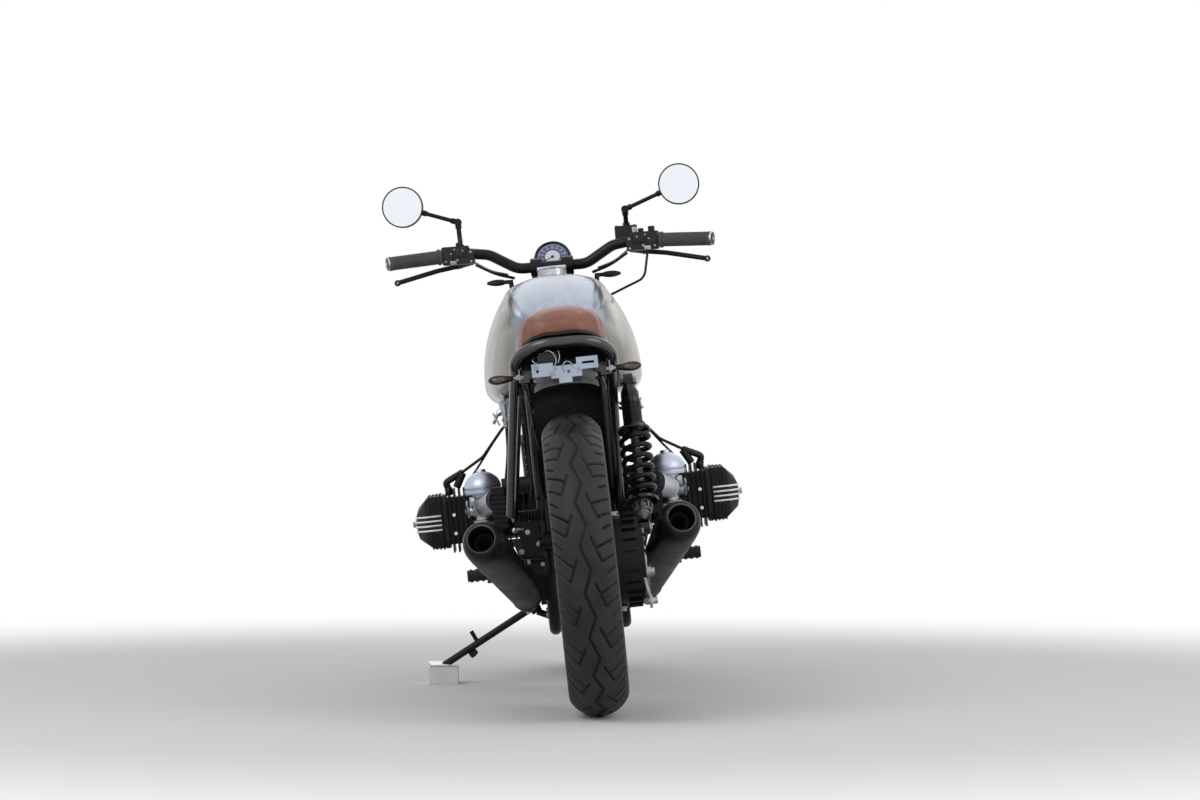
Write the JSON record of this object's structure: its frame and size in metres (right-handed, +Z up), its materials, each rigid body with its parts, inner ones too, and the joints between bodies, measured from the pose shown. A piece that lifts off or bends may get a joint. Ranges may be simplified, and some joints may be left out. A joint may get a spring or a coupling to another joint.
{
  "type": "cafe racer motorcycle",
  "caption": "Leaning cafe racer motorcycle with a flat twin engine, single sided swingarm, raised bars, round mirrors, bare metal tank and brown leather seat.",
  "frame": {"origin": "centre of the bounding box's footprint, on the road", "axes": "+Z up from the road, +Y towards the front wheel, +X towards the rider's right; the bike leans about Y onto its side stand"},
  "size_m": [0.859, 2.1294, 1.2539],
  "materials": {
    "black_plastic": "moulded black",
    "bright_alloy": "polished edges",
    "cast_silver": "bead-blasted cast alloy",
    "dial_face": "blue dial under glass",
    "disc_steel": "ground steel",
    "engine_black": "matt black engine paint",
    "exhaust_black": "matt black heat paint",
    "frame_black": "satin black powder coat",
    "grip_rubber": "dark grey rubber",
    "hose_rubber": "ribbed black rubber",
    "knurled_alloy": "machined and knurled",
    "lamp_glass": "clear glass",
    "mirror_glass": "silvered glass",
    "plain_steel": "zinc plated",
    "stand_concrete": "pale plain block",
    "tan_leather": "smooth brown leather",
    "tank_metal": "polished bare metal with clear coat",
    "tyre_rubber": "moulded tread",
    "wheel_black": "satin black"
  },
  "bodies": {
    "frame": {"frame": "frame_black", "rear_subframe": "frame_black", "rear_mudguard": "frame_black", "seat_pan": "black_plastic", "engine_block": "engine_black", "gearbox": "engine_black", "air_box": "hose_rubber", "cylinders": "engine_black", "cylinder_heads": "engine_black", "valve_covers": "engine_black", "cover_fins": "bright_alloy", "carburettors": "cast_silver", "exhaust_headers": "exhaust_black", "silencers": "exhaust_black", "swingarm": "frame_black", "final_drive": "engine_black", "shock": "engine_black", "shock_spring": "engine_black", "brake_linkage": "plain_steel", "foot_controls": "grip_rubber", "fuel_tank": "tank_metal", "fuel_cap": "knurled_alloy", "fuel_taps": "plain_steel", "seat": "tan_leather", "light_bracket": "plain_steel", "rear_indicators": "black_plastic", "spark_leads": "black_plastic", "stand_block": "stand_concrete"},
    "rear_wheel": {"rear_tyre": "tyre_rubber", "rear_wheel": "wheel_black"},
    "side_stand": {"side_stand": "frame_black"},
    "steering": {"fork_legs": "engine_black", "yokes": "frame_black", "handlebar": "frame_black", "grips": "grip_rubber", "bar_controls": "black_plastic", "mirrors": "black_plastic", "mirror_glasses": "mirror_glass", "speedometer": "black_plastic", "speedometer_dial": "dial_face", "headlight": "frame_black", "headlight_lens": "lamp_glass", "front_mudguard": "frame_black", "front_indicators": "black_plastic", "brake_cable": "black_plastic"},
    "front_wheel": {"front_tyre": "tyre_rubber", "front_wheel": "wheel_black", "front_brake_disc": "disc_steel"}
  },
  "joints": [
    {"name": "steering", "type": "hinge", "parent": "frame", "child": "steering", "pos_m": [0.05703, 0.70327, 0.29957], "axis": [-0.0938, -0.4695, 0.8779], "range_deg": [-31.6, 38.4]},
    {"name": "front_wheel_spin", "type": "hinge", "parent": "steering", "child": "front_wheel", "pos_m": [0.05744, 0.74293, 0.32083], "axis": [0.9955, -0.0524, 0.0784], "continuous": true},
    {"name": "rear_wheel_spin", "type": "hinge", "parent": "frame", "child": "rear_wheel", "pos_m": [0.05414, -0.737, 0.32654], "axis": [0.9943, 0, 0.1063], "continuous": true},
    {"name": "side_stand_fold", "type": "hinge", "parent": "frame", "child": "side_stand", "pos_m": [-0.05953, 0.218, 0.18567], "axis": [-0.5514, 0.0016, 0.8343], "range_deg": [0, 93.4]}
  ]
}
